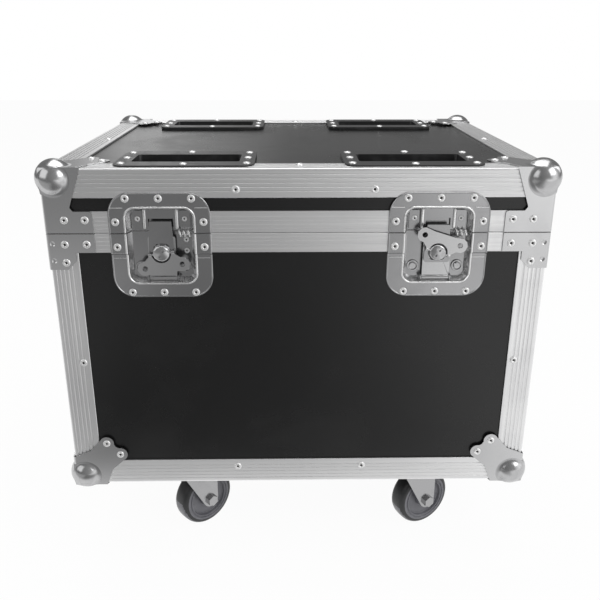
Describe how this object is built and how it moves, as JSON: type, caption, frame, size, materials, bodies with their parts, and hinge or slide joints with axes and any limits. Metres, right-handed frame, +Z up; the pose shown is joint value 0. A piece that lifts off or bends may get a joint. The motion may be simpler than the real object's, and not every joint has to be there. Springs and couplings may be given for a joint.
{
  "type": "hard equipment case",
  "caption": "Black hard equipment case with aluminium edging, steel ball corners, a hinged lid with stacking cups, recessed twist latches, side handles and swivel castors.",
  "frame": {"origin": "on the floor under the middle of the case", "axes": "+X to the case's right as seen from the front, +Y towards the hinges at the back, +Z up"},
  "size_m": [0.537, 0.437, 0.4815],
  "materials": {
    "laminate": "black satin laminate on plywood",
    "edging": "fluted, brushed",
    "hardware": "zinc plated",
    "cup": "black satin paint",
    "wheel": "dark grey, worn"
  },
  "bodies": {
    "base": {"base_floor_panel": "laminate", "base_front_panel": "laminate", "base_back_panel": "laminate", "base_left_panel": "laminate", "base_right_panel": "laminate", "base_edge_frame": "edging", "base_rim_frame": "edging", "base_ball_corner_front_left": "hardware", "base_ball_corner_front_right": "hardware", "base_ball_corner_back_left": "hardware", "base_ball_corner_back_right": "hardware", "base_corner_brace_front_left": "hardware", "base_corner_brace_front_right": "hardware", "base_corner_brace_back_left": "hardware", "base_corner_brace_back_right": "hardware", "latch_left_base_dish": "hardware", "latch_right_base_dish": "hardware", "castor_front_left_plate": "hardware", "castor_front_right_plate": "hardware", "castor_back_left_plate": "hardware", "castor_back_right_plate": "hardware", "hinge_left_base_leaf": "hardware", "hinge_right_base_leaf": "hardware", "handle_left_dish": "hardware", "handle_right_dish": "hardware"},
    "lid": {"lid_top_panel": "laminate", "lid_wall_ring": "laminate", "lid_edge_frame": "edging", "lid_rim_frame": "edging", "lid_ball_corner_front_left": "hardware", "lid_ball_corner_front_right": "hardware", "lid_ball_corner_back_left": "hardware", "lid_ball_corner_back_right": "hardware", "stacking_cup_front_left": "cup", "stacking_cup_front_right": "cup", "stacking_cup_back_left": "cup", "stacking_cup_back_right": "cup", "latch_left_lid_dish": "hardware", "latch_right_lid_dish": "hardware", "hinge_left_lid_leaf": "hardware", "hinge_right_lid_leaf": "hardware"},
    "latch_left_arm": {"latch_left_arm": "hardware"},
    "latch_left_hook": {"latch_left_hook": "hardware"},
    "latch_left_spindle": {"latch_left_spindle": "hardware"},
    "latch_left_wing": {"latch_left_wing": "hardware"},
    "latch_right_arm": {"latch_right_arm": "hardware"},
    "latch_right_hook": {"latch_right_hook": "hardware"},
    "latch_right_spindle": {"latch_right_spindle": "hardware"},
    "latch_right_wing": {"latch_right_wing": "hardware"},
    "handle_left_bail": {"handle_left_bail": "hardware"},
    "handle_right_bail": {"handle_right_bail": "hardware"},
    "castor_front_left_fork": {"castor_front_left_fork": "hardware"},
    "castor_front_left_wheel": {"castor_front_left_wheel": "wheel"},
    "castor_front_right_fork": {"castor_front_right_fork": "hardware"},
    "castor_front_right_wheel": {"castor_front_right_wheel": "wheel"},
    "castor_back_left_fork": {"castor_back_left_fork": "hardware"},
    "castor_back_left_wheel": {"castor_back_left_wheel": "wheel"},
    "castor_back_right_fork": {"castor_back_right_fork": "hardware"},
    "castor_back_right_wheel": {"castor_back_right_wheel": "wheel"}
  },
  "joints": [
    {"name": "lid_hinge", "type": "hinge", "parent": "base", "child": "lid", "pos_m": [0, 0.2133, 0.4065], "axis": [-1, 0, 0], "range_deg": [0, 100]},
    {"name": "latch_left_swing", "type": "hinge", "parent": "base", "child": "latch_left_arm", "pos_m": [-0.1437, -0.206, 0.357], "axis": [1, 0, 0], "range_deg": [-2.8, 60]},
    {"name": "latch_left_draw", "type": "slide", "parent": "latch_left_arm", "child": "latch_left_hook", "axis": [0, 0, 1], "range_m": [-0.0046, 0]},
    {"name": "latch_left_turn", "type": "hinge", "parent": "latch_left_arm", "child": "latch_left_spindle", "pos_m": [-0.1437, -0.206, 0.3855], "axis": [0, -1, 0], "range_deg": [0, 165]},
    {"name": "latch_left_wing_fold", "type": "hinge", "parent": "latch_left_spindle", "child": "latch_left_wing", "pos_m": [-0.1437, -0.213, 0.3855], "axis": [-0.9917, 0, -0.1288], "range_deg": [0, 90]},
    {"name": "latch_right_swing", "type": "hinge", "parent": "base", "child": "latch_right_arm", "pos_m": [0.1437, -0.206, 0.357], "axis": [1, 0, 0], "range_deg": [-2.8, 60]},
    {"name": "latch_right_draw", "type": "slide", "parent": "latch_right_arm", "child": "latch_right_hook", "axis": [0, 0, 1], "range_m": [0, 0.0045]},
    {"name": "latch_right_turn", "type": "hinge", "parent": "latch_right_arm", "child": "latch_right_spindle", "pos_m": [0.1437, -0.206, 0.3855], "axis": [0, -1, 0], "range_deg": [-155, 0]},
    {"name": "latch_right_wing_fold", "type": "hinge", "parent": "latch_right_spindle", "child": "latch_right_wing", "pos_m": [0.1437, -0.213, 0.3855], "axis": [0.9532, 0, -0.3024], "range_deg": [0, 90]},
    {"name": "handle_left_lift", "type": "hinge", "parent": "base", "child": "handle_left_bail", "pos_m": [-0.253, 0, 0.292], "axis": [0, 1, 0], "range_deg": [0, 90]},
    {"name": "handle_right_lift", "type": "hinge", "parent": "base", "child": "handle_right_bail", "pos_m": [0.253, 0, 0.292], "axis": [0, -1, 0], "range_deg": [0, 90]},
    {"name": "castor_front_left_swivel", "type": "hinge", "parent": "base", "child": "castor_front_left_fork", "pos_m": [-0.139, -0.15, 0.1], "axis": [0, 0, 1], "continuous": true},
    {"name": "castor_front_left_roll", "type": "hinge", "parent": "castor_front_left_fork", "child": "castor_front_left_wheel", "pos_m": [-0.12391, -0.13688, 0.03718], "axis": [-0.6561, 0.7547, 0], "continuous": true},
    {"name": "castor_front_right_swivel", "type": "hinge", "parent": "base", "child": "castor_front_right_fork", "pos_m": [0.139, -0.15, 0.1], "axis": [0, 0, 1], "continuous": true},
    {"name": "castor_front_right_roll", "type": "hinge", "parent": "castor_front_right_fork", "child": "castor_front_right_wheel", "pos_m": [0.15682, -0.14092, 0.03718], "axis": [-0.454, 0.891, 0], "continuous": true},
    {"name": "castor_back_left_swivel", "type": "hinge", "parent": "base", "child": "castor_back_left_fork", "pos_m": [-0.139, 0.15, 0.1], "axis": [0, 0, 1], "continuous": true},
    {"name": "castor_back_left_roll", "type": "hinge", "parent": "castor_back_left_fork", "child": "castor_back_left_wheel", "pos_m": [-0.11998, 0.15618, 0.03718], "axis": [-0.309, 0.9511, 0], "continuous": true},
    {"name": "castor_back_right_swivel", "type": "hinge", "parent": "base", "child": "castor_back_right_fork", "pos_m": [0.139, 0.15, 0.1], "axis": [0, 0, 1], "continuous": true},
    {"name": "castor_back_right_roll", "type": "hinge", "parent": "castor_back_right_fork", "child": "castor_back_right_wheel", "pos_m": [0.15131, 0.16576, 0.03718], "axis": [-0.788, 0.6157, 0], "continuous": true}
  ],
  "couplings": [
    {"joint": "latch_left_draw", "follows": "latch_left_turn", "m_per_rad": -0.00158},
    {"joint": "latch_right_draw", "follows": "latch_right_turn", "m_per_rad": -0.00165}
  ]
}
